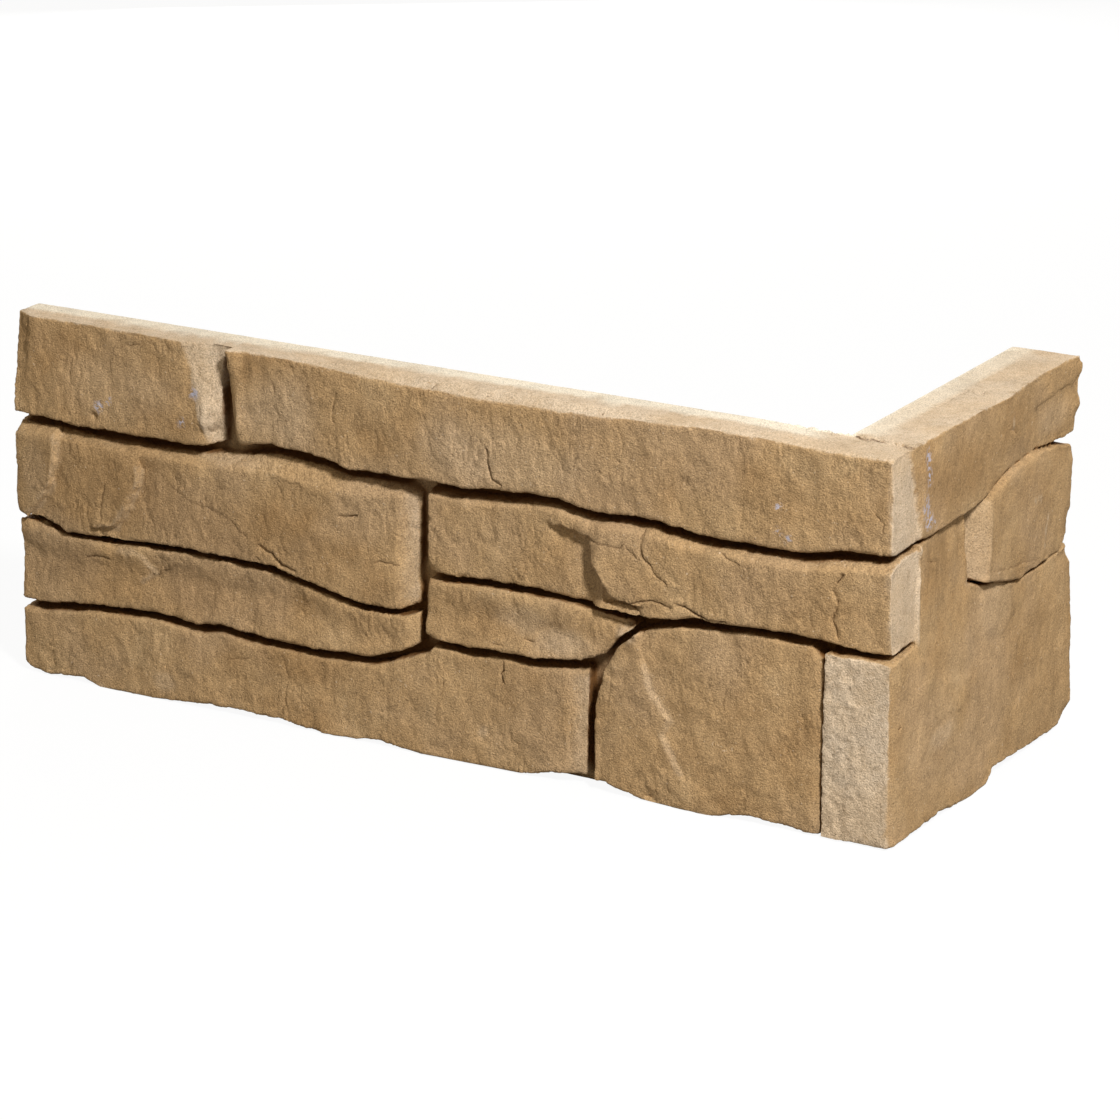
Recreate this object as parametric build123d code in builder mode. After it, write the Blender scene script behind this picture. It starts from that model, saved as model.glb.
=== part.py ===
"""A concrete cladding corner: an L-shaped casting that turns a stone-faced wall round an outer corner.

The casting is one piece. A flat backing slab beds against both faces of the wall, and the stones of the face
stand out from it between open joints. At the corner the heads of the stones overlap in turn: the two upper stones
of the long leg run out over the short leg, and the tall stone of the short leg runs out over the long one.

The origin is the wall's own corner at the foot of the casting. +Z is up, the long leg runs along -X and faces -Y,
and the short leg runs along +Y and faces +X. All sizes are in millimetres.
"""

import os
from collections import namedtuple

from build123d import *

# Overall sizes
height = 150
long_leg = 390  # outer corner to the free end
short_leg = 160  # outer corner to the free end
long_thickness = 19  # wall to the mean stone face
short_thickness = 26.5
long_slab = 9  # backing slab, wall to the bottom of the joints
short_slab = 16.5

# Bed joints, by the mean height of their middle line
top_bed = 110
upper_bed = 62
lower_bed = 33.3
right_bed = 73.5
small_bed = 46.5
short_top_bed = 112
short_low_bed = 76
long_joint = 3  # height of a bed joint
short_joint = 1.2

# Upright joints, by the distance of their middle from the outer corner
top_upright = 289
top_upright_gap = 6
middle_upright = 200
middle_upright_gap = 6
lower_middle_gap = 4
low_upright = 125.5
low_upright_gap = 5
head_gap = 1.5  # upright joint beside the head of the tall stone
small_tip = 106  # pointed end of the small stone
short_upright = 70  # near end of the short leg's middle stone

# Edges and heads
long_arris = 0.8  # bevel along the edges of a stone's face
short_arris = 0.6
ledge_run = 5  # depth of the steep front part of a ledge
trim = 2  # stone sawn away at the foot, top and free ends
head_lap = 4  # how far the long leg's heads reach past the wall plane
tall_lap = 0.5  # the same for the head of the tall stone
head_root = 4  # how far a head's deep part reaches into the other leg's slab
head_set_back = 1.5  # end faces of the long leg's heads, behind the short leg's mean face
head_bond = 1  # how far the short leg's stones run into the long leg's heads


def wave(mean, points):
    """A bed joint's middle line: its mean height, raised or lowered at distances from the outer corner."""
    return [(along, mean + rise) for along, rise in points]


def at(line, along):
    """Height of a line of points at a distance along it, level beyond its ends."""
    before = [p for p in line if p[0] <= along] or line[:1]
    after = [p for p in line if p[0] >= along] or line[-1:]
    (x0, y0), (x1, y1) = before[-1], after[0]
    return y0 if x1 <= x0 else y0 + (y1 - y0) * (along - x0) / (x1 - x0)


# Joint lines of the long leg
foot = wave(0, [(28, -1), (57, 1), (75, -2), (103, -1), (118, 2.5), (140, 2), (156, -1), (200, -1.5), (219, 0.5),
                (240, -1.5), (261, 0.5), (299, 1), (325, -1.5), (352, -2), (360, 1), (377, -1), (386, 0), (390, 2)])
bed_a = wave(top_bed, [(0, 1), (20, 0), (38, -3), (79, -3), (100, 0), (125, -0.5), (138, 2), (149, 2), (173, -0.5),
                       (231, -1), (248, 2), (267, 3), (285, 0), (300, -2.5), (358, -3.5), (370, -2)])
bed_b = wave(upper_bed, [(197, -2), (209, -6.5), (227, -7), (250, -2), (268, 1.5), (311, 2.5), (350, 0.5), (366, 0),
                         (379, 4)])
bed_c = wave(lower_bed, [(197, 11), (209, 5.5), (223, 0.5), (248, -1), (283, 0), (293, 2), (303, -0.5), (322, 1.5),
                         (351, 0), (381, -4)])
bed_d = wave(right_bed, [(0, -0.5), (9, -1), (29, 1.5), (55, 2), (78, 1), (99, -2), (130, -1), (157, 0.5), (197, -1)])
bed_e = wave(small_bed, [(103, 22), (113, 14.5), (119, 7.5), (129, 2.5), (147, 0), (169, 0.5), (178, -1), (196, 0)])
shoulder = wave(right_bed, [(28, -3), (34, 1.5), (55, 2), (78, 1), (97, -2), (105, -5), (114, -13), (119, -22),
                            (123, -36)])
top_line = wave(height + trim, [(0, 0)])

# Joint lines of the short leg
seat = wave(0, [(0, 0), (40, 2), (64, -1), (80, -1.5), (86, 4), (97, 3.5), (116, 2), (150, 0.5), (160, 4)])
bed_f = wave(short_top_bed, [(24, -0.5), (71, 0.5), (89, 4.5), (98, 7), (124, 8.5), (141, 6.5), (160, 5.5)])
bed_g = wave(short_low_bed, [(70, 7.5), (79, 4), (110, -3.5), (147, -3.5), (160, -2)])
middle_top = bed_f[:-1] + wave(short_top_bed, [(147, 5.5), (160, 1.5)])
middle_foot = bed_g[:-2] + wave(short_low_bed, [(149, -3.5), (160, 1)])
head_back = long_thickness + head_lap
tall_top = (
    [(0, right_bed - 1), (head_back - head_bond - 1, right_bed - 0.5)]
    + [(head_back - head_bond, short_top_bed - 0.5), (short_upright - 3, short_top_bed)]
    + bed_g
)

Leg = namedtuple("Leg", "section face slab joint arris")
long = Leg(
    # Upright planes across a leg: local x stands out from the wall, local y is up
    section=lambda along: Plane((short_thickness - along, 0, 0), x_dir=(0, -1, 0), z_dir=(-1, 0, 0)),
    face=long_thickness,
    slab=long_slab,
    joint=long_joint,
    arris=long_arris,
)
short = Leg(
    section=lambda along: Plane((0, along - long_thickness, 0), x_dir=(1, 0, 0), z_dir=(0, -1, 0)),
    face=short_thickness,
    slab=short_slab,
    joint=short_joint,
    arris=short_arris,
)


def face_edge(ends, mean, shares, slopes):
    """How far an edge of a stone's face stands out from the wall, along the stone, with its sloped ends."""
    near, far = ends
    (near_run, near_drop), (far_run, far_drop) = slopes
    line = [(near + share * (far - near), mean + out) for share, out in shares]
    first = [(near, at(line, near) - near_drop), (near + near_run, at(line, near + near_run))]
    last = [(far - far_run, at(line, far - far_run)), (far, at(line, far) - far_drop)]
    return first + [p for p in line if near + near_run < p[0] < far - far_run] + last


def stone(leg, ends, beds, relief, slopes=((0, 0), (0, 0)), ledge=((0, 0),), head=None):
    """One stone of the face, lofted through upright sections along its leg.

    ends: where it starts and stops, measured from the outer corner; beds: the joint lines under and over it;
    relief: how far its face stands out from the leg's mean face, as (share of its length, lower edge, upper edge);
    slopes: (run, drop) of its near and far end;
    ledge: fall of its top towards the face, as (share of its length, fall);
    head: (length, reach past the wall plane) of the part that runs out over the other leg.
    """
    near, far = ends
    below, above = beds
    lower = face_edge(ends, leg.face, [(share, low) for share, low, _ in relief], slopes)
    upper = face_edge(ends, leg.face, [(share, up) for share, _, up in relief], slopes)
    marks = {p[0] for line in (below, above, lower) for p in line}
    marks |= {head[0], head[0] + head_gap} if head else set()
    stops = [near] + sorted(m for m in marks if near + 0.5 < m < far - 0.5) + [far]
    with BuildPart() as block:
        for along in stops:
            bottom = at(below, along) + leg.joint / 2
            top = at(above, along) - leg.joint / 2
            bevel = min(leg.arris, (top - bottom) / 4)
            fall = min(at(ledge, (along - near) / (far - near)), (top - bottom) / 4)
            root = -head[1] if head and along <= head[0] else leg.slab / 2
            with BuildSketch(leg.section(along)):
                with BuildLine():
                    Polyline(
                        (root, bottom),
                        (at(lower, along) - bevel, bottom),
                        (at(lower, along), bottom + bevel),
                        (at(upper, along), top - fall - bevel),
                        (at(upper, along) - bevel, top - fall),
                        (at(upper, along) - ledge_run, top - fall / 4),
                        (root, top),
                        close=True,
                    )
                make_face()
        loft(ruled=True)
    return block.part


long_end = long_leg + trim
short_end = short_leg + trim
long_head = (short_thickness - short_slab + head_root, head_lap)
tall_head = (long_thickness - long_slab + head_root, tall_lap)

stones = [
    # Long leg, top course, from the free end to the corner
    stone(
        long,
        (top_upright + top_upright_gap / 2, long_end),
        (bed_a, top_line),
        [(0, -7, -8), (0.055, 1, -5), (0.15, 1, 0.5), (0.55, 1, -1.5), (0.9, 0.5, -2), (1, 0, -7)],
    ),
    stone(
        long,
        (head_set_back, top_upright - top_upright_gap / 2),
        (bed_a, top_line),
        [(0, -1, 0), (0.06, 0, 0.5), (0.2, 1, 1), (0.4, 1.5, 2), (0.65, 1.5, 1.5), (0.81, 1, 1), (0.985, 0, 0),
         (1, -8, 0)],
        ledge=[(0, 0.5), (0.29, 1), (0.41, 2.4), (0.5, 3.4), (0.59, 3.8), (0.75, 3.1), (0.9, 0.5)],
        head=long_head,
    ),
    # Long leg, left stones under the top course, from the top down
    stone(
        long,
        (middle_upright + middle_upright_gap / 2, long_end),
        (bed_b, bed_a),
        [(0, -1, -2), (0.15, 1, 0), (0.5, 1.5, 0), (0.92, 1, 0), (1, -1, -1)],
        slopes=((8, 5.5), (0, 0)),
        ledge=[(0, 5), (0.1, 6), (0.24, 9), (0.33, 8), (0.5, 5), (0.7, 3), (0.9, 4.5)],
    ),
    stone(
        long,
        (middle_upright + lower_middle_gap / 2, long_end),
        (bed_c, bed_b),
        [(0, -0.5, -4), (0.25, 0, -4), (0.8, 0, -3), (1, -1, -4)],
        slopes=((5, 3), (0, 0)),
    ),
    stone(
        long,
        (low_upright + low_upright_gap / 2, long_end),
        (foot, bed_e + bed_c),
        [(0, 0, -2), (0.28, 1, -2), (0.65, 1.5, -1), (0.96, 0.5, -1), (1, -0.5, -1.5)],
        slopes=((8, 3), (3, 1)),
        ledge=[(0, 1)],
    ),
    # Long leg, right stones under the top course, from the top down
    stone(
        long,
        (head_set_back, middle_upright - middle_upright_gap / 2),
        (bed_d, bed_a),
        [(0, -2, 0), (0.1, 0, 1), (0.3, 2, 1.5), (0.61, 3, 1), (0.635, -3, 0), (0.77, -1, -1), (1, -1, -2)],
        slopes=((0, 0), (5, 2.5)),
        ledge=[(0, 3)],
        head=long_head,
    ),
    stone(
        long,
        (small_tip, middle_upright - lower_middle_gap / 2),
        (bed_e, bed_d),
        [(0, -0.5, -5), (0.1, 0, -5), (0.5, 1, -5), (1, 0, -4)],
        slopes=((6, 3), (5, 2.5)),
    ),
    stone(
        long,
        (short_thickness + tall_lap + head_gap, low_upright - low_upright_gap / 2),
        (foot, shoulder),
        [(0, 0, -2), (0.5, 1.5, -1), (0.9, 1, -1), (1, 0.5, -1)],
        slopes=((3, 1), (4, 4)),
        ledge=[(0, 1)],
    ),
    # Short leg: the top stone, the middle stone and the tall stone
    stone(
        short,
        (head_back - head_bond, short_end),
        (bed_f, top_line),
        [(0, 0, 0), (0.26, 0, 1), (0.5, 0, 2), (0.74, -1, -0.5), (0.93, -1, 0), (1, -1.5, 1)],
    ),
    stone(
        short,
        (short_upright, short_end),
        (middle_foot, middle_top),
        [(0, 2, 2), (0.35, 1, 1), (0.88, -1, 0), (1, -4, -3)],
        slopes=((9, 10), (0, 0)),
    ),
    stone(
        short,
        (0, short_end),
        (seat, tall_top),
        [(0, 0.5, 0), (0.06, 1.5, 0), (0.16, 2.5, -1), (0.4, 2.5, -5), (0.44, 2.5, -3), (0.62, 1.5, -1),
         (0.93, 1, -1.5), (1, -1, -4)],
        slopes=((3, 1), (0, 0)),
        head=tall_head,
    ),
]

with BuildPart() as corner:
    with BuildSketch():
        with BuildLine():
            Polyline(
                (0, 0),
                (short_thickness - long_leg, 0),
                (short_thickness - long_leg, -long_slab),
                (short_slab, -long_slab),
                (short_slab, short_leg - long_thickness),
                (0, short_leg - long_thickness),
                close=True,
            )
        make_face()
    extrude(amount=height)
    for block in stones:
        add(block)
    split(bisect_by=Plane.XY, keep=Keep.TOP)
    split(bisect_by=Plane.XY.offset(height), keep=Keep.BOTTOM)
    split(bisect_by=Plane.YZ.offset(short_thickness - long_leg), keep=Keep.TOP)
    split(bisect_by=Plane.XZ.offset(long_thickness - short_leg), keep=Keep.TOP)

corner.part.label = "cladding_corner"
os.makedirs("parts", exist_ok=True)
export_step(corner.part, "parts/cladding_corner.step")
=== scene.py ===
"""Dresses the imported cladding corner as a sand-coloured concrete casting with a split-stone face.

The casting's own mesh is copied finely, its edges are worn and its faces broken up with cleft relief, cracks,
flakes and pits, and the result stands for the CAD node. Distances in the tables below are in millimetres:
"along" is measured from the outer corner of the casting, and heights from its foot.
"""

import math

import bpy
import numpy as np
from mathutils import Matrix, Vector
from mathutils.bvhtree import BVHTree


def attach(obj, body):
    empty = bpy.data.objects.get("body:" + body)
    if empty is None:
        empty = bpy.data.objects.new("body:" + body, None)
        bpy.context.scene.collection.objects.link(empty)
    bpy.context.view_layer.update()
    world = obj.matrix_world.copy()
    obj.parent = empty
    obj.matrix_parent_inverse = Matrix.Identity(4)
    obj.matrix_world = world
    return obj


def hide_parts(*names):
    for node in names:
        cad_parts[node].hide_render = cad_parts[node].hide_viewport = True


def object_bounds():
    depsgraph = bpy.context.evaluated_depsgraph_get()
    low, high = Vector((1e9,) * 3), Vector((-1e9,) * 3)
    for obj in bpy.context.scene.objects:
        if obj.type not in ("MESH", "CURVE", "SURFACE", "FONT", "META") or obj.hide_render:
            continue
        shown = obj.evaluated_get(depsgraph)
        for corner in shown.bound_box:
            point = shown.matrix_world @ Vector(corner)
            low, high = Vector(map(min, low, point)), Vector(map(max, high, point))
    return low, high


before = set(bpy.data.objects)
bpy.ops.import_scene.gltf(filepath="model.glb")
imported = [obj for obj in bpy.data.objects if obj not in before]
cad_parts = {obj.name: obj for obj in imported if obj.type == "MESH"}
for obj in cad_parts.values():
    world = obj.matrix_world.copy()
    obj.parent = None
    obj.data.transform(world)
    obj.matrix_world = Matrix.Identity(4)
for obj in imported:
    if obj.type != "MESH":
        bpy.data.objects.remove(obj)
cad_low, cad_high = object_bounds()

# Sizes of the casting
OUTER_X = 26.5  # outer corner in the row frame
OUTER_Y = -19.0
HEIGHT = round(1000 * cad_high[2], 2)
HEAD_SET_BACK = 1.4  # how far the long leg's broken heads lie behind the short leg's faces
FILLED_LEVEL = 25.0  # bottom of the short leg's filled joints
FILLED_REACH = 2.6  # half width of the filling
FILLED_CLEAN = 3.4  # half width of the strip round it that keeps the tone of the face, without painted joint shade

# Fine mesh
VOXEL = 0.5
TRIANGLES = 190000
SHARP_ANGLE = 60.0
RAYS = 24  # directions tried for each point in a joint
RAY_LENGTH = 0.012  # in metres, as is the ray's start off the face
RAY_START = 0.0003

# Rounds of smoothing
EDGE_ROUNDS = 7
CREASE_ROUNDS = 30
FILL_ROUNDS = 20
SEAM_ROUNDS = 25

# Heights of the relief
SWELL = 0.34
SMALL_SWELL = 0.12
STEP_HEIGHT = 0.24
SCALE_HEIGHT = 0.12
CLEFT_DEPTH = 0.34
GRAIN_HEIGHT = 0.07
CHIP_DEPTH = 0.5
SMALL_CHIP_DEPTH = 0.22
EDGE_SHIFT = 0.45
SMALL_EDGE_SHIFT = 0.22
END_FLAKE = 0.22  # rough part of the tall stone's broken end
END_GRAIN = 0.22
END_FADE = 5.0  # length over which a fuller end dies away at its top and foot

# Cracks, as (points, width, depth)
FRONT_CRACKS = [
    ([(169, 128), (168.2, 120.6), (166.5, 116.2), (163, 114.4)], 0.6, 1.2),
    ([(236, 140), (237.4, 133.8), (237.6, 127.9)], 0.4, 0.6),
    ([(265.6, 140.5), (264.4, 134.7)], 0.4, 0.5),
    ([(7.9, 131.2), (8.2, 127.4), (4.6, 124.3), (5.3, 121.2)], 0.4, 0.6),
    ([(336.1, 143.6), (332.1, 145.2), (328.5, 145.7)], 0.4, 0.6),
    ([(345.5, 85.9), (347.2, 79.4), (347.5, 71)], 0.5, 0.6),
    ([(314.9, 90.7), (305.5, 86), (297.5, 84.4), (285.8, 80.9), (278.9, 75.1)], 0.5, 0.35),
    ([(272.4, 72.9), (267.3, 70.9), (262.8, 66.7), (256.3, 65.3)], 0.7, 1.4),
    ([(235.5, 90.6), (227.8, 91.5)], 0.6, 1.0),
    ([(219.9, 74.7), (215.3, 75), (209.9, 74.7)], 0.4, 0.6),
    ([(102.2, 106.6), (103, 100.3), (102.1, 96.6), (98.7, 94), (96.6, 90.5), (91.5, 87.5)], 0.45, 0.8),
    ([(124.6, 99.5), (111.8, 98.4), (108.5, 102.5)], 0.4, 0.5),
    ([(108.5, 98.6), (104.2, 95.8)], 0.4, 0.6),
    ([(70.5, 103.7), (65.9, 101), (61.8, 100.2)], 0.4, 0.7),
    ([(107.1, 77.8), (102.8, 79.7), (96.5, 80.4), (90.2, 79.2)], 0.4, 0.8),
    ([(87.3, 81.2), (80.5, 78.9), (73.8, 76.5), (66, 77.5)], 0.5, 1.0),
    ([(20.4, 102.5), (24.3, 96.9), (21.8, 92.4), (24, 85.2), (21.9, 79.1)], 1.0, 1.3),
    ([(357.5, 53.5), (352, 55.3), (346.2, 54.7)], 0.5, 0.7),
    ([(153.6, 55.1), (150.1, 54.5)], 0.5, 0.7),
    ([(166.4, 50.8), (162, 50.8)], 0.5, 0.7),
    ([(164.2, 43.2), (163.8, 40.5), (164.7, 38.7), (163.4, 35.3)], 0.5, 1.1),
    ([(189.7, 31.3), (193.5, 15.1)], 0.4, 0.35),
    ([(288.9, 22.9), (280.3, 24.5)], 0.4, 0.4),
    ([(264.6, 28.9), (261.5, 21.2)], 0.6, 0.6),
    ([(261, 18), (263.8, 3.2)], 0.6, 0.5),
]
SIDE_CRACKS = [
    ([(96, 135.2), (102, 133.2)], 0.5, 0.8),
    ([(29.5, 102.4), (40.6, 99.2)], 0.4, 0.6),
    ([(80, 84.8), (95.7, 81.2), (113.1, 79.1), (126.4, 76.2)], 0.4, 0.4),
    ([(6.3, 45.4), (8, 45.8)], 0.5, 0.8),
]
# Step across the top at the corner, as places in x and y, its drop, and the x where it starts and is whole
TOP_STEP = [(1, 0), (6, -1.3), (10.4, -0.3), (16, -1.3), (21.5, -2.5), (26, -4)]
TOP_STEP_DROP = 1.3
TOP_STEP_FADE = (-45, 0)
TOP_CRACKS = [
    (TOP_STEP, 0.7, 0.9),
    ([(13, 71.8), (16.5, 67.7), (19.3, 67.8), (17.4, 72.8)], 0.4, 0.35),
    ([(11.5, 46.4), (11.1, 58.4), (11.7, 71.1)], 0.5, 0.3),
    ([(-158, -12.1), (-152, -13.3)], 0.5, 0.7),
    ([(-167, -19.4), (-165.8, -15.1)], 0.5, 0.6),
]
# Flakes, as (edge points, rise, reach of the rise, drop, reach of the drop): the face rises on the left of
# the way that the points run on the front, and on the right of it on the short leg, and drops on the other
# side of the edge
FRONT_FLAKES = [
    ([(384, 68.5), (378.4, 73.6), (373.1, 81.6), (370.1, 92.4), (369.7, 103)], 1.8, 22, 1.1, 9),
    ([(348.6, 68.3), (341.2, 69.5), (337.1, 74.8), (333.5, 81.5), (329.9, 87.9), (329.8, 95)],
     1.9, 12, 1.2, 9),
    ([(86.2, 14.5), (90.5, 22.4), (94, 27.8), (90.6, 33.5), (94.9, 38.7), (98.8, 43.9), (101.8, 53.2)],
     0.8, 22, 0.4, 8),
    ([(330.9, 47.8), (323.5, 52), (330.5, 58.8), (341.2, 59.1)], 0.5, 12, 0.3, 6),
    ([(138, 102), (125, 100.2), (124.6, 96), (123.7, 91), (117.7, 83), (114.7, 78.5), (106.6, 77.5)],
     0.8, 14, 3.6, 10),
]
SIDE_FLAKES = [
    ([(160, 139.2), (147.5, 139.6), (134.3, 139.1), (123.4, 138.1)], 0.35, 9, 0.4, 6),
    ([(57, 37), (46, 39.5), (35, 37), (27, 30)], 0.12, 12, 0.22, 7),
    ([(106, 60), (96, 55), (86, 57), (78, 64), (80, 74)], 0.2, 12, 0.15, 7),
    ([(62, 140), (70, 132), (74, 124)], 0.3, 12, 0.3, 8),
    ([(20, 68), (34, 64), (44, 52), (66, 48)], 0.15, 16, 0.18, 9),
]
# Pits, as (along, height, radius, depth)
FRONT_PITS = [(350.6, 113.8, 1.1, 1.6), (223.6, 96.5, 1.5, 0.7), (99, 1.5, 3, 1.5)]
SIDE_PITS = [(159, 139, 2.2, 1.6)]

# Fuller ends of stones, as (along from, along to, low, high, rise): the face comes out by the rise from the
# first place along the leg to the second
FRONT_FULL = [
    (307, 293, 114, 156, 3.6),
    (278, 285.5, 112, 156, 2.2),
    (118.5, 123, -4, 52, 3.6),
    (191.5, 197, 74, 110, 2.3),
    (192.5, 198, 46, 74, 2.3),
]
SIDE_FULL = [
    (144, 160, 4, 70, 2.2),
    (146, 160, 140, 156, 0.8),
    (146, 160, 125, 135, 1.5),
    (144, 160, 84, 112, 1.2),
]
# Upright joint that narrows towards the top, as heights and the places along the leg where its filling starts
# there, the places between which the filling dies away again, and how far out it is cast
NARROW_JOINT = [(122, 300), (131, 291.5), (146.5, 288.4), (149.6, 284)]
NARROW_STOP = (300, 297)
NARROW_LEVEL = -15.5
# Fuller upper edges of the stones under a joint line, as (line, rise, reach)
FRONT_UNDER = [
    ([(201, 57), (209, 55.5), (227, 55), (250, 60), (268, 63.5), (311, 64.5), (350, 62.5), (366, 62),
      (392, 66)], 2.6, 14),
    ([(104, 71.5), (130, 72.5), (157, 74), (198, 72.5)], 3.6, 16),
]
# Joint lines of the short leg that are cast nearly full
SIDE_FILLED = [
    [(80, 113.4), (89, 116.5), (96, 118.5), (102, 119.3), (124, 120.5)],
    [(113, 72.5), (122, 72.5)],
    [(139, 72.5), (158, 73.5)],
]
# Broken edge between the long leg's heads and the short leg's faces, as heights and places across the head
HEAD_EDGE_HEIGHT = (88, 101, 111, 116, 125, 138, 150)
HEAD_EDGE_ACROSS = (5, 3.5, 3, 3.5, 0.5, -3.5, -6.5)

# Paler patches, as (along, height, half length, half height, strength)
FRONT_PALE = [(138, 56, 14, 6, 0.35), (109, 65, 5, 4, 0.6), (320, 8, 6, 5, 0.3), (172, 14, 3, 3, 0.35),
              (290, 105, 22, 3.5, 0.3), (165, 125, 40, 16, 0.26), (340, 125, 34, 14, 0.14),
              (262, 128, 20, 16, 0.26), (380, 85, 8, 16, 0.2), (155, 62, 14, 6, 0.3)]
SIDE_PALE = [(41, 32, 15, 6, 0.34), (92, 67, 15, 13, 0.2), (32, 33, 24, 26, 0.16), (60, 56, 16, 12, 0.12),
             (138, 130, 16, 8, 0.2)]
# Deeper-toned patches, in the same form
FRONT_DEEP = [(345, 84, 50, 22, 0.43), (280, 78, 60, 18, 0.3), (320, 48, 75, 13, 0.3),
              (165, 60, 32, 9, 0.35), (256, 27, 24, 10, 0.5), (54, 128, 26, 14, 0.2),
              (60, 92, 40, 12, 0.17), (150, 20, 26, 14, 0.12)]
SIDE_DEEP = [(40, 98, 18, 16, 0.55), (52, 130, 32, 15, 0.5), (108, 133, 26, 14, 0.3),
             (121, 46, 22, 16, 0.25), (112, 108, 16, 8, 0.12)]
# Pale scratches on the short leg, as points
SIDE_SCRATCHES = [
    [(136, 92), (133.4, 85), (132.8, 79.7)],
    [(120, 100.4), (126.5, 101.5)],
    [(97.5, 140.5), (98.9, 135)],
]
# Bluish flecks, as (along, height, radius)
FRONT_FLECKS = [(46.6, 124.3, 1.4), (46.5, 115.6, 1.6), (42, 113.3, 1.4), (348, 118, 2.2),
                (343.6, 120.3, 1.6), (301.8, 130.1, 2.4), (308.3, 117.8, 1.4)]
SIDE_FLECKS = [(25, 142, 3.2), (26, 135, 3), (25, 125, 3.4), (28, 119, 3.6), (33, 116, 1.6)]

# Tones, linear
TAN_DEEP = (0.27, 0.155, 0.062)
TAN_DARK = (0.37, 0.228, 0.105)
TAN = (0.425, 0.274, 0.135)
TAN_LIGHT = (0.475, 0.32, 0.168)
TAN_ROSE = (0.425, 0.286, 0.16)
PALE = (0.60, 0.475, 0.342)
PALE_REAR = (0.76, 0.68, 0.55)
# Near-black painted shade for the joints
JOINT_SHADE = (0.14, 0.057, 0.013)
# Near-black painted shade for the cracks and pores
CRACK_SHADE = (0.075, 0.036, 0.013)
FLECK = (0.48, 0.47, 0.56)
ROUGHNESS = 0.92
SHINE = 0.15
BUMP_STRENGTH = 0.95
BUMP_DISTANCE = 0.0008

# Camera, as fitted to the photograph
CAMERA_AT = (0.66164, -1.34570, 0.59513)
CAMERA_PITCH = 18.241
CAMERA_YAW = 30.229
CAMERA_LENS = 139.42
CAMERA_SENSOR = 36.0

# Light
KEY_TURN = 51.0  # from straight in front of the long leg round to the right
KEY_RISE = 44.0
KEY_SIZE = 0.2
KEY_POWER = 27.6
BACK_TURN = 215.0
BACK_RISE = 12.0
BACK_SIZE = 0.9
BACK_POWER = 9.0
LAMP_DISTANCE = 1.5
LAMP_AIM = (-0.08, 0.0, 0.08)
SKY = (0.35, 0.31, 0.24)  # light from all round, a little warm
FLOOR_REACH = 8.0
FLOOR_WHITE = 0.93  # share of plain white in the floor that is seen, the rest takes the shadow


# Noise

PERMUTE = np.random.default_rng(11).permutation(256)
SPIN = np.random.default_rng(12).normal(size=(256, 3)).astype(np.float32)
SPIN /= np.linalg.norm(SPIN, axis=1, keepdims=True)


def noise(points, seed=0):
    """Smooth gradient noise at the points, about -1 to 1."""
    cell = np.floor(points).astype(np.int64)
    part = (points - cell).astype(np.float32)
    ease = part * part * part * (part * (part * 6 - 15) + 10)
    total = np.zeros(len(points), np.float32)
    for corner in range(8):
        step = np.array([corner & 1, corner >> 1 & 1, corner >> 2 & 1])
        key = cell + step
        spot = PERMUTE[(key[:, 0] + seed * 37) & 255]
        spot = PERMUTE[(spot + key[:, 1]) & 255]
        spot = PERMUTE[(spot + key[:, 2]) & 255]
        slope = np.einsum("ij,ij->i", SPIN[spot], part - step.astype(np.float32))
        weight = np.prod(np.where(step == 1, ease, 1 - ease), axis=1)
        total += slope * weight
    return total * 1.6


def fractal(points, octaves, seed, gain=0.5):
    """Noise summed over finer and finer octaves."""
    total = np.zeros(len(points), np.float32)
    scale, size = 1.0, 1.0
    for octave in range(octaves):
        total += size * noise(points * scale, seed + octave)
        scale *= 2.03
        size *= gain
    return total


def noise_vectors(points, seed):
    """Three noises at the points, as the parts of a vector."""
    return np.stack([noise(points, seed), noise(points, seed + 1), noise(points, seed + 2)], axis=1)


def ramp(low, high, value):
    """Smooth step from 0 at low to 1 at high."""
    share = np.clip((value - low) / (high - low), 0, 1)
    return share * share * (3 - 2 * share)


def terrace(value, edge):
    """Rounds a height into steps of 1, with edges as sharp as edge is small."""
    base = np.floor(value)
    return base + ramp(0.5 - edge, 0.5 + edge, value - base)


# Lines and spots on a face


def line_distance(along, height, points):
    """Distance to a line of points, which side of it a place lies on, and how far past the line's ends."""
    best = np.full(len(along), 1e6, np.float32)
    side = np.zeros(len(along), np.float32)
    past = np.zeros(len(along), np.float32)
    last = len(points) - 2
    for index, ((a0, h0), (a1, h1)) in enumerate(zip(points, points[1:])):
        da, dh = a1 - a0, h1 - h0
        length = math.hypot(da, dh)
        run = ((along - a0) * da + (height - h0) * dh) / length
        share = np.clip(run / length, 0, 1)
        away = np.hypot(along - a0 - share * da, height - h0 - share * dh)
        over = np.maximum(-run, 0) * (index == 0) + np.maximum(run - length, 0) * (index == last)
        near = away < best
        side = np.where(near, np.where(da * (height - h0) - dh * (along - a0) < 0, 1, -1), side)
        past = np.where(near, over, past)
        best = np.where(near, away, best)
    return best, side, past


def nearest_crack(along, height, cracks):
    """Signed distance to the nearest crack, its width, and its depth, which dies away past its ends."""
    signed = np.full(len(along), 9.0, np.float32)
    width = np.ones(len(along), np.float32)
    depth = np.zeros(len(along), np.float32)
    for points, crack_width, crack_depth in cracks:
        away, side, past = line_distance(along, height, points)
        near = away < np.abs(signed)
        signed = np.where(near, away * side, signed)
        width = np.where(near, crack_width, width)
        depth = np.where(near, crack_depth * np.exp(-((past / 0.8) ** 2)), depth)
    return signed, width, depth * ramp(3.5, 2.0, np.abs(signed))


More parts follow.
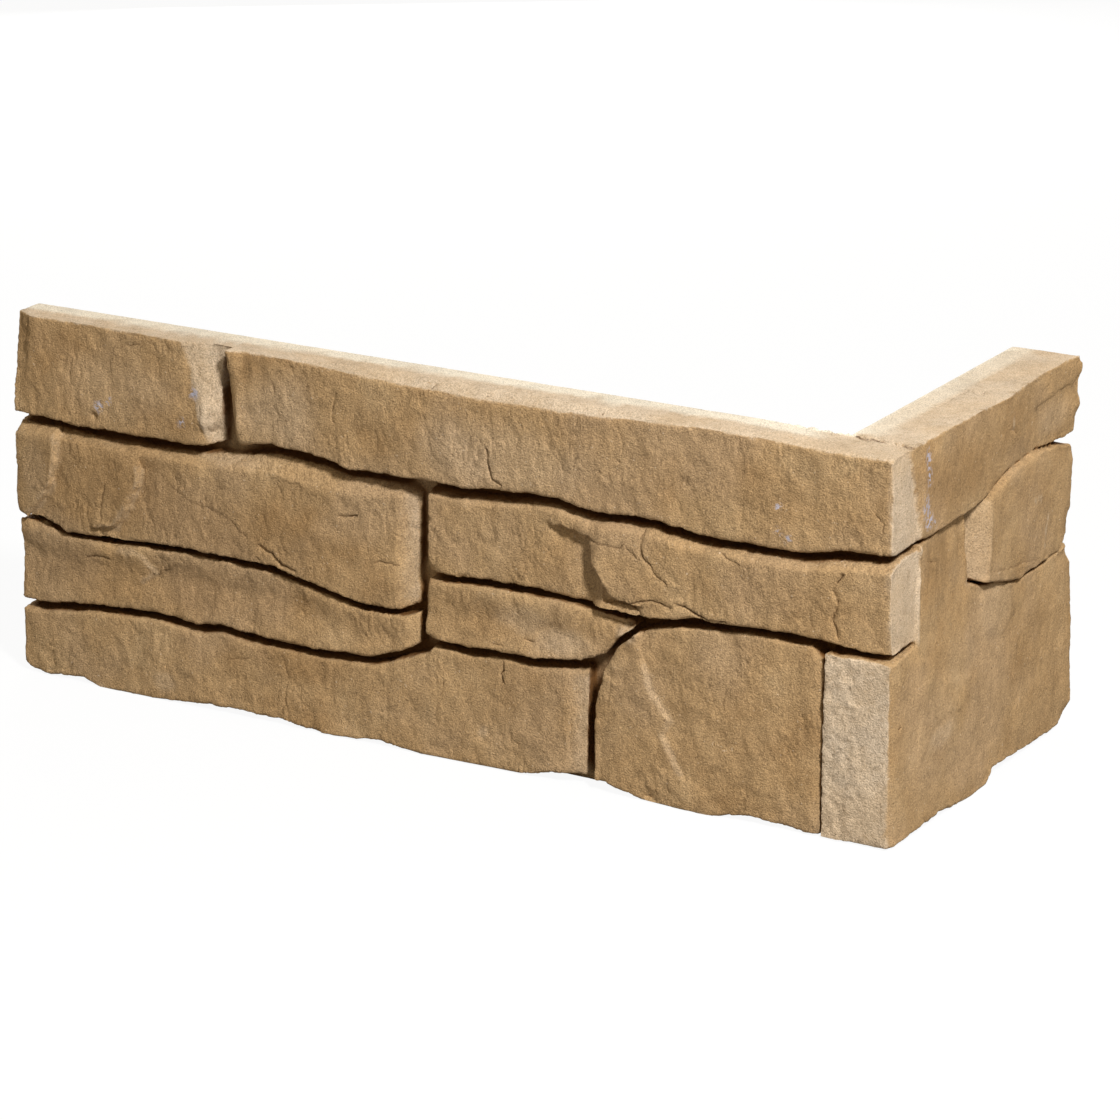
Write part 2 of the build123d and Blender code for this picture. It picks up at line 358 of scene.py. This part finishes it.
def flake_height(along, height, flakes):
    """Rise and drop of the face at the edges of the flakes."""
    total = np.zeros(len(along), np.float32)
    for points, rise, rise_reach, drop, drop_reach in flakes:
        away, side, past = line_distance(along, height, points)
        whole = np.exp(-((past / 4) ** 2))
        upper = rise * np.exp(-away / rise_reach)
        lower = -drop * np.exp(-((away / drop_reach) ** 2))
        total += whole * (lower + (upper - lower) * ramp(-0.7, 0.7, away * side))
    return total


def pit_depth(along, height, pits):
    """Depth of the round pits."""
    total = np.zeros(len(along), np.float32)
    for pit_along, pit_height, radius, depth in pits:
        away = np.hypot(along - pit_along, height - pit_height)
        total = np.maximum(total, depth * np.exp(-((away / radius) ** 2)))
    return total


def blots(along, height, spots):
    """Soft oval patches of given strength."""
    total = np.zeros(len(along), np.float32)
    for spot_along, spot_height, half_length, half_height, strength in spots:
        away = np.hypot((along - spot_along) / half_length, (height - spot_height) / half_height)
        total = np.maximum(total, strength * ramp(1.2, 0.4, away))
    return total


def dots(along, height, spots):
    """Round spots of full strength."""
    total = np.zeros(len(along), np.float32)
    for spot_along, spot_height, radius in spots:
        away = np.hypot(along - spot_along, height - spot_height)
        total = np.maximum(total, ramp(1.2, 0.4, away / radius))
    return total


# Where on the casting a point is


class Places:
    """The regions of the casting, worked out from points and their normals."""

    def __init__(self, points, normals):
        self.points = points
        x, y, z = points.T
        nx, ny, nz = normals.T
        self.height = z
        self.front_along = OUTER_X - x
        self.side_along = y - OUTER_Y
        self.front = ramp(0.35, 0.65, -ny) * ramp(-12, -14, y)
        self.side = ramp(0.35, 0.65, nx) * ramp(18.5, 20.5, x)
        self.top = ramp(0.5, 0.8, nz) * ramp(145.2, 146.4, z)
        self.foot = ramp(-0.5, -0.8, nz) * ramp(1.2, 0.4, z)
        self.back = np.maximum(ramp(0.6, 0.9, ny) * ramp(-0.8, -0.2, y) * ramp(0.6, 0.0, x),
                               ramp(-0.6, -0.9, nx) * ramp(0.8, 0.2, x) * ramp(-0.6, 0.0, y))
        self.free_end = np.maximum(ramp(-362.4, -363.2, x) * ramp(-0.6, -0.9, nx),
                                   ramp(139.9, 140.7, y) * ramp(0.6, 0.9, ny))
        self.flat = np.clip(self.top + self.foot + self.back + self.free_end, 0, 1)
        # Broken ends of the stones that run out over the other leg
        self.long_heads = ramp(0.4, 0.7, nx) * ramp(22, 23.5, x) * ramp(4.5, 3.5, y) * ramp(73, 74.5, z)
        self.tall_head = ramp(0.4, 0.7, -ny) * ramp(-1.8, -0.6, x) * ramp(74.5, 73, z) * ramp(-16, -17, y)
        self.heads = np.clip(self.long_heads + self.tall_head, 0, 1)
        self.past_head_edge = y - np.interp(z, HEAD_EDGE_HEIGHT, HEAD_EDGE_ACROSS)
        self.outer = np.maximum(ramp(-5, -8, y), ramp(10, 13, x))


# Relief


def cleft(place):
    """Relief of the split faces: how far each point moves along its normal."""
    p = place.points
    warp = noise_vectors(p / 9, 31)
    swell = SWELL * fractal(p / 45, 2, 1) + SMALL_SWELL * noise(p / 17, 5)
    tall = p * np.array([1 / 13, 1 / 13, 1 / 22], np.float32)
    steps = STEP_HEIGHT * terrace(2.4 * fractal(tall + warp * 0.22, 3, 8), 0.1)
    short = p * np.array([1 / 5, 1 / 5, 1 / 10], np.float32)
    scales = SCALE_HEIGHT * terrace(1.7 * fractal(short + warp * 0.45, 2, 11), 0.14)
    fine = p * np.array([1 / 3, 1 / 3, 1 / 9], np.float32) + warp * 0.35
    ridges = 1 - np.abs(fractal(fine, 2, 15)) * 1.4
    clefts = -CLEFT_DEPTH * ramp(0.72, 0.98, ridges) * ramp(-0.1, 0.45, noise(p / 20, 18))
    grain = GRAIN_HEIGHT * noise(p / 1.7, 21)
    return swell + (steps + scales + clefts + grain) * (1 - 0.5 * place.side)


def cracks_on(place):
    """Signed distance, width and depth of the nearest crack, with a little wander in the cracks' lines."""
    p = place.points
    wander, drift = 0.6 * noise(p / 3.1, 41), 0.6 * noise(p / 3.1, 42)
    front = nearest_crack(place.front_along + wander, place.height + drift, FRONT_CRACKS)
    side = nearest_crack(place.side_along + wander, place.height + drift, SIDE_CRACKS)
    top = nearest_crack(p[:, 0] + wander, p[:, 1] + drift, TOP_CRACKS)
    on_side = place.side > place.front
    on_top = place.top > np.maximum(place.side, place.front)
    signed, width, depth = [
        np.where(on_top, of_top, np.where(on_side, of_side, of_front))
        for of_top, of_side, of_front in zip(top, side, front)
    ]
    return signed, width, depth * np.maximum.reduce([place.front, place.side, place.top])


def marks(place):
    """Relief of the cracks, flakes and pits."""
    p = place.points
    signed, width, depth = cracks_on(place)
    groove = -0.8 * depth * np.exp(-((signed / width) ** 2))
    lip = 0.35 * depth * ramp(-0.3, 0.3, signed) * np.exp(-np.abs(signed) / 2.5)
    wander, drift = 0.8 * noise(p / 3.4, 44), 0.8 * noise(p / 3.4, 45)
    front = (place.front_along + wander, place.height + drift)
    side = (place.side_along + wander, place.height + drift)
    flakes = flake_height(*front, FRONT_FLAKES) * place.front
    flakes = flakes + flake_height(*side, SIDE_FLAKES) * place.side
    pits = pit_depth(*front, FRONT_PITS) * place.front + pit_depth(*side, SIDE_PITS) * place.side
    return groove + lip + flakes - pits


def flaky_end(place):
    """Rough left part of the tall stone's broken end."""
    p = place.points
    ragged = ramp(11, 14, place.front_along + 2 * noise(p / 6, 60))
    short = p * np.array([1 / 4, 1 / 4, 1 / 5], np.float32)
    flakes = END_FLAKE * terrace(2.2 * fractal(short, 3, 61), 0.15)
    return place.tall_head * ragged * (flakes + END_GRAIN * noise(p / 1.6, 64))


def filled_joints(points, reach):
    """How far each point lies in a joint of the short leg that is cast nearly full."""
    x, y, z = points.T
    filled = np.zeros(len(points), np.float32)
    for line in SIDE_FILLED:
        away, _, past = line_distance(y - OUTER_Y, z, line)
        filled = np.maximum(filled, ramp(reach, reach - 0.8, away) * ramp(2, 0, past))
    return filled * ramp(11, 13, x)


def cast_full(points, average):
    """Brings the bottom of the short leg's filled joints up near the face."""
    filled = filled_joints(points, FILLED_REACH)
    points = points.copy()
    points[:, 0] += 0.9 * filled * np.maximum(FILLED_LEVEL - points[:, 0], 0)
    for _ in range(FILL_ROUNDS):
        points += filled[:, None] * (average(points) - points)
    return points


def stepped_top(points):
    """Sets the long leg's top lower than the short leg's, and blunts the short leg's upper free corner."""
    x, y, z = points.T
    points = points.copy()
    line = np.interp(x, *zip(*TOP_STEP))
    lower = ramp(0.5, -0.5, y - line + 0.7 * noise(points / 3, 67)) * ramp(*TOP_STEP_FADE, x)
    points[:, 2] -= TOP_STEP_DROP * lower * ramp(143, HEIGHT, z)
    blunt = ramp(135.5, 141, y) * ramp(145, HEIGHT, z)
    points[:, 1] -= 1.8 * blunt
    points[:, 0] -= 1.2 * blunt * ramp(20, 24, x)
    points[:, 2] -= 0.8 * blunt
    return points


def fuller(points):
    """Brings some ends and upper edges of the stones further out from the wall."""
    x, y, z = points.T
    points = points.copy()
    along = OUTER_X - x
    outside = ramp(-9.2, -11, y) * ramp(20, 15, x)
    for start, stop, low, high, rise in FRONT_FULL:
        within = (along > min(start, stop) - 1.6) & (along < max(start, stop) + 1.6)
        push = rise * outside * within * ramp(start, stop, along)
        points[:, 1] -= push * ramp(low, low + END_FADE, z) * ramp(high, high - END_FADE, z)
    start = np.interp(z, *zip(*NARROW_JOINT))
    filling = ramp(start, start + 1.2, along) * ramp(*NARROW_STOP, along) * ramp(-7, -9, y)
    points[:, 1] -= filling * np.maximum(points[:, 1] - NARROW_LEVEL, 0)
    for line, rise, reach in FRONT_UNDER:
        joint = np.interp(along, *zip(*line))
        within = ramp(line[0][0] - 1, line[0][0] + 2, along) * ramp(line[-1][0] + 1, line[-1][0] - 2, along)
        points[:, 1] -= rise * outside * within * ramp(-reach, -2, z - joint) * (z < joint)
    along = y - OUTER_Y
    outside = ramp(16.8, 18.5, x) * ramp(6, 10, y)
    for start, stop, low, high, rise in SIDE_FULL:
        push = rise * outside * ramp(start, stop, along)
        points[:, 0] += push * ramp(low, low + END_FADE, z) * ramp(high, high - END_FADE, z)
    return points


# Fine mesh of the casting


def dense_copy(node):
    """A fine closed mesh of a CAD node, in the row frame."""
    copy = node.copy()
    copy.data = node.data.copy()
    bpy.context.collection.objects.link(copy)
    voxels = copy.modifiers.new("voxels", "REMESH")
    voxels.mode = "VOXEL"
    voxels.voxel_size = VOXEL / 1000
    found = copy.evaluated_get(bpy.context.evaluated_depsgraph_get())
    mesh = bpy.data.meshes.new_from_object(found)
    bpy.data.objects.remove(copy)
    return mesh


def read_points(mesh):
    points = np.empty(len(mesh.vertices) * 3, np.float32)
    mesh.vertices.foreach_get("co", points)
    return points.reshape(-1, 3) * 1000


def write_points(mesh, points):
    mesh.vertices.foreach_set("co", (points / 1000).astype(np.float32).ravel())
    mesh.update()


def read_normals(mesh):
    normals = np.empty(len(mesh.vertices) * 3, np.float32)
    mesh.vertex_normals.foreach_get("vector", normals)
    return normals.reshape(-1, 3)


def smoother(mesh):
    """A function that averages values over each vertex's neighbours."""
    ends = np.empty(len(mesh.edges) * 2, np.int32)
    mesh.edges.foreach_get("vertices", ends)
    first, second = ends[0::2], ends[1::2]
    count = len(mesh.vertices)
    links = np.bincount(ends, minlength=count).astype(np.float32)

    def average(values):
        total = np.empty_like(values)
        for axis in range(values.shape[1]):
            column = values[:, axis]
            ahead = np.bincount(first, column[second], count)
            behind = np.bincount(second, column[first], count)
            total[:, axis] = ahead + behind
        return total / links[:, None]

    return average


def without_creases(points, where, average):
    """Smooths the faint creases between a face's parts, and leaves its edges as they are."""
    soft = points
    for _ in range(CREASE_ROUNDS):
        soft = average(soft)
    gap = np.linalg.norm(soft - points, axis=1)
    return points + (where * ramp(0.5, 0.25, gap))[:, None] * (soft - points)


def worn_casting(node):
    """The casting with worn edges, cleft faces and its cracks, as one closed mesh."""
    mesh = dense_copy(node)
    average = smoother(mesh)
    points = read_points(mesh)
    flat = Places(points, read_normals(mesh)).flat[:, None]
    points = fuller(points + 0.5 * (1 - flat) * (average(points) - points))
    write_points(mesh, points)
    points = without_creases(points, Places(points, read_normals(mesh)).side, average)
    write_points(mesh, points)
    normals = read_normals(mesh)

    # Edges stand out where heavy smoothing would pull them in
    soft, broad = points, normals
    for _ in range(EDGE_ROUNDS):
        soft = average(soft)
        broad = average(broad)
    broad /= np.linalg.norm(broad, axis=1, keepdims=True)
    edge = ramp(0.06, 0.3, np.einsum("ij,ij->i", points - soft, normals))
    zone = edge[:, None]
    for _ in range(3):
        zone = average(zone)

    place = Places(points, broad)
    large_chips = CHIP_DEPTH * ramp(0.15, 0.8, noise(points / 5.2, 51))
    small_chips = SMALL_CHIP_DEPTH * ramp(0.1, 0.8, noise(points / 2, 52))
    chips = edge * place.outer * (large_chips + small_chips)
    shift = EDGE_SHIFT * noise_vectors(points / 9, 54) + SMALL_EDGE_SHIFT * noise_vectors(points / 3.2, 57)
    shift *= np.clip(2 * zone, 0, 1) * ((1 - place.flat) * place.outer)[:, None]
    rough = (1 - 0.8 * place.flat) * (1 - 0.6 * place.heads)
    push = cleft(place) * rough - chips + marks(place) + flaky_end(place)
    push *= (1 - place.foot) * (1 - 0.9 * place.back)
    points = points + broad * push[:, None] + shift
    points = stepped_top(cast_full(points, average))
    past_edge = ramp(-1, 1.5, place.past_head_edge + noise(points / 4, 66))
    points[:, 0] += HEAD_SET_BACK * place.long_heads * past_edge

    # The seam between the long leg's top head and the short leg's top stone is smoothed away
    x, y, z = points.T
    seam = ramp(22, 24, x) * ramp(1.5, 2.5, y) * ramp(8, 6, y) * ramp(111, 113, z)
    for _ in range(SEAM_ROUNDS):
        points += seam[:, None] * (average(points) - points)
    points[:, 2] = np.clip(points[:, 2], 0, HEIGHT)
    write_points(mesh, points)

    casting = bpy.data.objects.new("split_stone_casting", mesh)
    bpy.context.collection.objects.link(casting)
    thin = casting.modifiers.new("thin", "DECIMATE")
    thin.ratio = TRIANGLES / (2 * len(mesh.polygons))
    thin.use_collapse_triangulate = True
    found = casting.evaluated_get(bpy.context.evaluated_depsgraph_get())
    casting.data = bpy.data.meshes.new_from_object(found)
    casting.modifiers.clear()
    bpy.data.meshes.remove(mesh)
    casting.data.shade_smooth()
    casting.data.set_sharp_from_angle(angle=math.radians(SHARP_ANGLE))
    return casting


def hidden_share(casting, points, normals, chosen):
    """Share of the directions from each chosen vertex that another part of the casting blocks close by."""
    tree = BVHTree.FromObject(casting, bpy.context.evaluated_depsgraph_get())
    turn = np.arange(RAYS) * math.pi * (3 - math.sqrt(5))
    reach = np.sqrt((np.arange(RAYS) + 0.5) / RAYS)
    local = np.stack([reach * np.cos(turn), reach * np.sin(turn), np.sqrt(1 - reach ** 2)], axis=1)
    hidden = np.zeros(len(points), np.float32)
    for index in np.flatnonzero(chosen):
        normal = Vector(normals[index])
        side = normal.orthogonal().normalized()
        other = normal.cross(side)
        start = Vector(points[index]) / 1000 + normal * RAY_START
        hits = 0
        for a, b, c in local:
            if tree.ray_cast(start, side * a + other * b + normal * c, RAY_LENGTH)[0]:
                hits += 1
        hidden[index] = hits / RAYS
    return hidden


def paint_masks(casting):
    """Writes where the pale, deep and flecked parts lie, with some painted highlight among the pale, and
    where shade is painted in the joints and cracks, for the material to read.
    """
    mesh = casting.data
    points, normals = read_points(mesh), read_normals(mesh)
    place = Places(points, normals)
    x, y, z = points.T
    wander = 1.3 * noise(points / 5, 71) + 0.6 * noise(points / 2, 72)
    front, side, height = place.front_along + wander, place.side_along + wander, z + wander

    # Sloped ends of the stones, and the upper faces
    past_slope = front - 296.8 - 0.27 * (z - 111)
    end_slope = ramp(109, 111, z) * ramp(286, 288, front) * ramp(0.7, -0.7, past_slope)
    band = ramp(197, 199, front) * ramp(211, 203, front) * ramp(57, 62, z) * ramp(107, 104, z)
    low_band = ramp(125, 127, front) * ramp(136, 129, front) * ramp(45, 42, z)
    inner_slope = ramp(68, 70, side) * ramp(81, 77, side) * ramp(80, 83, z) * ramp(114, 112, z)
    inner_slope = inner_slope * ramp(14, 17, x)
    upper = ramp(0.1, 0.4, normals[:, 2]) * ramp(146, 148, z)
    pale = np.maximum.reduce([
        place.top,
        upper * (1 - place.outer),
        0.9 * place.long_heads * ramp(0.6, -0.6, place.past_head_edge + 0.8 * wander),
        place.tall_head * ramp(-0.3, 1.2, front),
        0.4 * place.front * ramp(4, 1, front) * ramp(72, 76, z),
        0.85 * end_slope * ramp(-10, -11, y),
        0.5 * band * ramp(-12, -13, y),
        0.35 * low_band * ramp(-12, -13, y),
        0.3 * inner_slope,
        blots(front, height, FRONT_PALE) * place.front,
        blots(side, height, SIDE_PALE) * place.side,
        0.8 * np.clip(place.back + place.foot + place.free_end, 0, 1),
    ])
    # Pale lines along the flakes' edges: partly worn edges, partly painted highlight on the risers that face
    # the key lamp
    for edge, *_ in FRONT_FLAKES[:-1]:
        away, _, past = line_distance(front, height, edge)
        pale = np.maximum(pale, 0.3 * ramp(1.8, 0.4, away) * np.exp(-((past / 4) ** 2)) * place.front)
    deep = np.maximum(blots(front, height, FRONT_DEEP) * place.front,
                      blots(side, height, SIDE_DEEP) * place.side)
    rear_long = ramp(-9.5, -6.5, y + 0.5 * wander) * ramp(2, 0, x)
    rear_short = 0.55 * ramp(11, 8, x + 0.5 * wander) * ramp(0, 3, y)

    # Painted shade: the joints are darkened where the casting hides most of the sky
    behind_faces = np.maximum(ramp(-18, -17, y) * ramp(23, 21, x), ramp(25.2, 24.6, x) * ramp(1, 4, y))
    crevice = (1 - place.flat) * place.outer * behind_faces
    hidden = hidden_share(casting, points, normals, crevice > 0.01)[:, None]
    average = smoother(mesh)
    for _ in range(3):
        hidden = average(hidden)
    joint = ramp(0.42, 0.7, hidden[:, 0]) * crevice * (1 - filled_joints(points, FILLED_CLEAN))

    scratch = np.zeros(len(points), np.float32)
    for line in SIDE_SCRATCHES:
        away, _, _ = line_distance(place.side_along + 0.4 * wander, z, line)
        scratch = np.maximum(scratch, ramp(0.9, 0.3, away) * place.side)
    crack, _, cut = cracks_on(place)
    fleck = np.maximum(dots(place.front_along, z, FRONT_FLECKS) * place.front,
                       dots(place.side_along, z, SIDE_FLECKS) * ramp(21, 23, x))
    layers = {
        "pale": pale,
        "deep": deep,
        "rear": upper * np.maximum(rear_long, rear_short),
        "joint": joint,
        "crack": np.clip(crack, -4, 4),
        "cut": cut,
        "fleck": fleck,
        "scratch": scratch,
        "calm": np.clip(place.side + place.long_heads + 0.6 * (place.top + place.tall_head), 0, 1),
    }
    for name, values in layers.items():
        layer = mesh.attributes.new(name, "FLOAT", "POINT")
        layer.data.foreach_set("value", values.astype(np.float32))


# Material


class Nodes:
    """Short ways to add shader nodes to a material or world."""

    def __init__(self, owner):
        owner.use_nodes = True
        self.tree = owner.node_tree
        self.tree.nodes.clear()

    def add(self, kind, inputs=(), **settings):
        node = self.tree.nodes.new(kind)
        for key, value in settings.items():
            setattr(node, key, value)
        for key, value in dict(inputs).items():
            self.put(node.inputs[key], value)
        return node

    def put(self, socket, value):
        if isinstance(value, bpy.types.NodeSocket):
            self.tree.links.new(value, socket)
        else:
            socket.default_value = value

    def attribute(self, name):
        return self.add("ShaderNodeAttribute", attribute_name=name).outputs["Fac"]

    def math(self, operation, *values):
        node = self.add("ShaderNodeMath", operation=operation)
        for socket, value in zip(node.inputs, values):
            self.put(socket, value)
        return node.outputs[0]

    def span(self, value, low, high, to_low=0.0, to_high=1.0):
        names = {"Value": value, "From Min": low, "From Max": high, "To Min": to_low, "To Max": to_high}
        return self.add("ShaderNodeMapRange", names, interpolation_type="SMOOTHSTEP").outputs[0]

    def mix(self, share, first, second, blend="MIX"):
        node = self.add("ShaderNodeMix", data_type="RGBA", blend_type=blend)
        self.put(node.inputs["Factor"], share)
        self.put(node.inputs["A"], first)
        self.put(node.inputs["B"], second)
        return node.outputs["Result"]

    def noise(self, where, scale, detail=2.0, roughness=0.5):
        names = {"Vector": where, "Scale": scale, "Detail": detail, "Roughness": roughness}
        return self.add("ShaderNodeTexNoise", names).outputs["Fac"]

    def stretch(self, where, scale):
        return self.add("ShaderNodeVectorMath", {0: where, 1: scale}, operation="MULTIPLY").outputs[0]

    def grey(self, value):
        return self.add("ShaderNodeCombineColor", {0: value, 1: value, 2: value}).outputs[0]


def rgba(colour):
    return (*colour, 1.0)


def stone_material():
    """Cast concrete coloured as sandstone: tan split faces, paler where it is sawn or broken."""
    material = bpy.data.materials.new("cast_sandstone_concrete")
    nodes = Nodes(material)
    where = nodes.add("ShaderNodeTexCoord").outputs["Object"]
    mm = nodes.stretch(where, (1000, 1000, 1000))
    upright = nodes.stretch(where, (1000, 1000, 210))

    cloud = nodes.noise(mm, 0.034, 4.0, 0.6)
    streak = nodes.noise(upright, 0.75, 3.0, 0.6)
    grain = nodes.noise(mm, 0.55, 2.0, 0.6)
    sand = nodes.noise(mm, 1.6, 2.0, 0.65)
    calm = nodes.math("MULTIPLY_ADD", nodes.attribute("calm"), -0.12, 1.0)

    tan = nodes.mix(nodes.span(cloud, 0.3, 0.52), rgba(TAN_DARK), rgba(TAN))
    tan = nodes.mix(nodes.span(cloud, 0.5, 0.75), tan, rgba(TAN_LIGHT))
    tan = nodes.mix(nodes.span(nodes.noise(mm, 0.021, 2.0), 0.48, 0.66, 0, 0.7), tan, rgba(TAN_ROSE))
    tan = nodes.mix(nodes.attribute("deep"), tan, rgba(TAN_DEEP))
    pale_tone = nodes.mix(nodes.span(cloud, 0.35, 0.65, 0, 0.35), rgba(PALE), rgba(TAN_LIGHT))
    pale_share = nodes.math("MULTIPLY", nodes.attribute("pale"), nodes.span(grain, 0.25, 0.55, 0.75, 1))
    colour = nodes.mix(pale_share, tan, pale_tone)
    height = nodes.add("ShaderNodeSeparateXYZ", {0: mm}).outputs[2]
    rear = nodes.math("MULTIPLY", nodes.attribute("rear"), nodes.span(height, HEIGHT - 1.4, HEIGHT - 0.7))
    colour = nodes.mix(rear, colour, rgba(PALE_REAR))

    spread = nodes.math("MULTIPLY", nodes.math("SUBTRACT", sand, 0.5), 1.6)
    spread = nodes.math("MULTIPLY_ADD", nodes.math("SUBTRACT", grain, 0.5), 0.3, spread)
    streak_share = nodes.math("MULTIPLY_ADD", nodes.attribute("calm"), -0.3, 0.4)
    spread = nodes.math("MULTIPLY_ADD", nodes.math("SUBTRACT", streak, 0.5), streak_share, spread)
    blotch = nodes.math("SUBTRACT", nodes.noise(mm, 0.09, 4.0, 0.65), 0.5)
    blotch_share = nodes.math("MULTIPLY_ADD", nodes.attribute("calm"), 0.3, 0.42)
    mottle = nodes.math("MULTIPLY_ADD", spread, calm, nodes.math("MULTIPLY_ADD", blotch, blotch_share, 1.0))
    colour = nodes.mix(1.0, colour, nodes.grey(mottle), "MULTIPLY")
    specks = nodes.span(nodes.noise(mm, 0.8, 1.0), 0.73, 0.78, 0, 0.6)
    colour = nodes.mix(specks, colour, rgba(PALE))
    # Painted shade: dark pores, where small hollows would lie in shade
    pores = nodes.span(nodes.noise(mm, 0.9, 0.0), 0.19, 0.14, 0, 0.45)
    colour = nodes.mix(pores, colour, rgba(CRACK_SHADE))

    colour = nodes.mix(nodes.math("MULTIPLY", nodes.attribute("scratch"), 0.5), colour, rgba(PALE))
    # Painted shade in the joints, where the casting hides most of the sky
    colour = nodes.mix(nodes.math("MULTIPLY", nodes.attribute("joint"), 0.95), colour, rgba(JOINT_SHADE))
    # Painted shade along the cracks, stronger where they are cut deeper
    wobble = nodes.math("MULTIPLY", nodes.math("SUBTRACT", grain, 0.5), 1.4)
    away = nodes.math("ABSOLUTE", nodes.math("ADD", nodes.attribute("crack"), wobble))
    line = nodes.span(away, 0.5, 0.1, 0, 0.9)
    line = nodes.math("MULTIPLY", line, nodes.math("MINIMUM", nodes.attribute("cut"), 1.0))
    line = nodes.math("MULTIPLY", line, nodes.span(nodes.noise(mm, 0.22, 1.0), 0.38, 0.52, 0.12, 1))
    colour = nodes.mix(line, colour, rgba(CRACK_SHADE))
    patchy = nodes.span(nodes.noise(mm, 0.6, 2.0), 0.47, 0.53)
    fleck = nodes.math("MULTIPLY", nodes.attribute("fleck"), patchy)
    colour = nodes.mix(fleck, colour, rgba(FLECK))

    relief = nodes.math("ADD", nodes.math("MULTIPLY", grain, 0.3), nodes.math("MULTIPLY", sand, 0.7))
    relief = nodes.math("MULTIPLY_ADD", streak, 0.25, relief)
    strength = nodes.math("MULTIPLY", calm, BUMP_STRENGTH)
    bump = nodes.add("ShaderNodeBump", {"Height": relief, "Strength": strength, "Distance": BUMP_DISTANCE})
    looks = {"Base Color": colour, "Roughness": ROUGHNESS, "Specular IOR Level": SHINE}
    looks["Normal"] = bump.outputs[0]
    shader = nodes.add("ShaderNodeBsdfPrincipled", looks)
    nodes.add("ShaderNodeOutputMaterial", {"Surface": shader.outputs[0]})
    return material


def seen_ray(nodes):
    """1 where the camera sees a surface, directly, mirrored or through glass."""
    ray = nodes.add("ShaderNodeLightPath").outputs
    mirrored = nodes.math("MAXIMUM", ray["Is Glossy Ray"], ray["Is Transmission Ray"])
    return nodes.math("MAXIMUM", ray["Is Camera Ray"], mirrored)


def floor_material():
    """Floor that looks white apart from a soft shadow, and throws little light back at the object."""
    material = bpy.data.materials.new("studio_floor")
    nodes = Nodes(material)
    seen = seen_ray(nodes)
    colour = nodes.mix(seen, (0.3, 0.3, 0.3, 1), (0.95, 0.95, 0.95, 1))
    matt = nodes.add("ShaderNodeBsdfDiffuse", {"Color": colour})
    white = nodes.add("ShaderNodeEmission", {"Color": (1, 1, 1, 1)})
    share = nodes.math("MULTIPLY", seen, FLOOR_WHITE)
    surface = nodes.add("ShaderNodeMixShader", {0: share, 1: matt.outputs[0], 2: white.outputs[0]})
    nodes.add("ShaderNodeOutputMaterial", {"Surface": surface.outputs[0]})
    return material


# Stage


def add_floor():
    mesh = bpy.data.meshes.new("floor")
    reach = FLOOR_REACH
    corners = [(-reach, -reach, 0), (reach, -reach, 0), (reach, reach, 0), (-reach, reach, 0)]
    mesh.from_pydata(corners, [], [(0, 1, 2, 3)])
    mesh.materials.append(floor_material())
    floor = bpy.data.objects.new("floor", mesh)
    bpy.context.collection.objects.link(floor)


def add_camera():
    pitch, yaw = math.radians(CAMERA_PITCH), math.radians(CAMERA_YAW)
    ahead = Vector((-math.sin(yaw) * math.cos(pitch), math.cos(yaw) * math.cos(pitch), -math.sin(pitch)))
    right = Vector((math.cos(yaw), math.sin(yaw), 0))
    turn = Matrix((right, right.cross(ahead), -ahead)).transposed().to_4x4()
    data = bpy.data.cameras.new("camera")
    data.lens = CAMERA_LENS
    data.sensor_width = CAMERA_SENSOR
    data.clip_end = 50
    camera = bpy.data.objects.new("camera", data)
    camera.matrix_world = Matrix.Translation(CAMERA_AT) @ turn
    bpy.context.collection.objects.link(camera)
    bpy.context.scene.camera = camera


def add_lamp(name, turn, rise, size, power):
    """A round soft lamp aimed at the casting, turned to the right from in front of the long leg."""
    turn, rise = math.radians(turn), math.radians(rise)
    towards = Vector((math.sin(turn) * math.cos(rise), -math.cos(turn) * math.cos(rise), math.sin(rise)))
    data = bpy.data.lights.new(name, "AREA")
    data.shape = "DISK"
    data.size = size
    data.energy = power
    lamp = bpy.data.objects.new(name, data)
    aimed = towards.to_track_quat("Z", "Y").to_matrix().to_4x4()
    lamp.matrix_world = Matrix.Translation(Vector(LAMP_AIM) + towards * LAMP_DISTANCE) @ aimed
    lamp.visible_camera = False
    bpy.context.collection.objects.link(lamp)


def add_light():
    add_lamp("key", KEY_TURN, KEY_RISE, KEY_SIZE, KEY_POWER)
    add_lamp("back", BACK_TURN, BACK_RISE, BACK_SIZE, BACK_POWER)

    world = bpy.data.worlds.new("studio")
    nodes = Nodes(world)
    level = nodes.mix(seen_ray(nodes), rgba(SKY), (1, 1, 1, 1))
    sky = nodes.add("ShaderNodeBackground", {"Color": level})
    nodes.add("ShaderNodeOutputWorld", {"Surface": sky.outputs[0]})
    bpy.context.scene.world = world


casting = worn_casting(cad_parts["cladding_corner"])
paint_masks(casting)
casting.data.materials.clear()
casting.data.materials.append(stone_material())
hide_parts("cladding_corner")
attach(casting, "root")

add_floor()
add_camera()
add_light()
bpy.context.scene.view_settings.view_transform = "Standard"
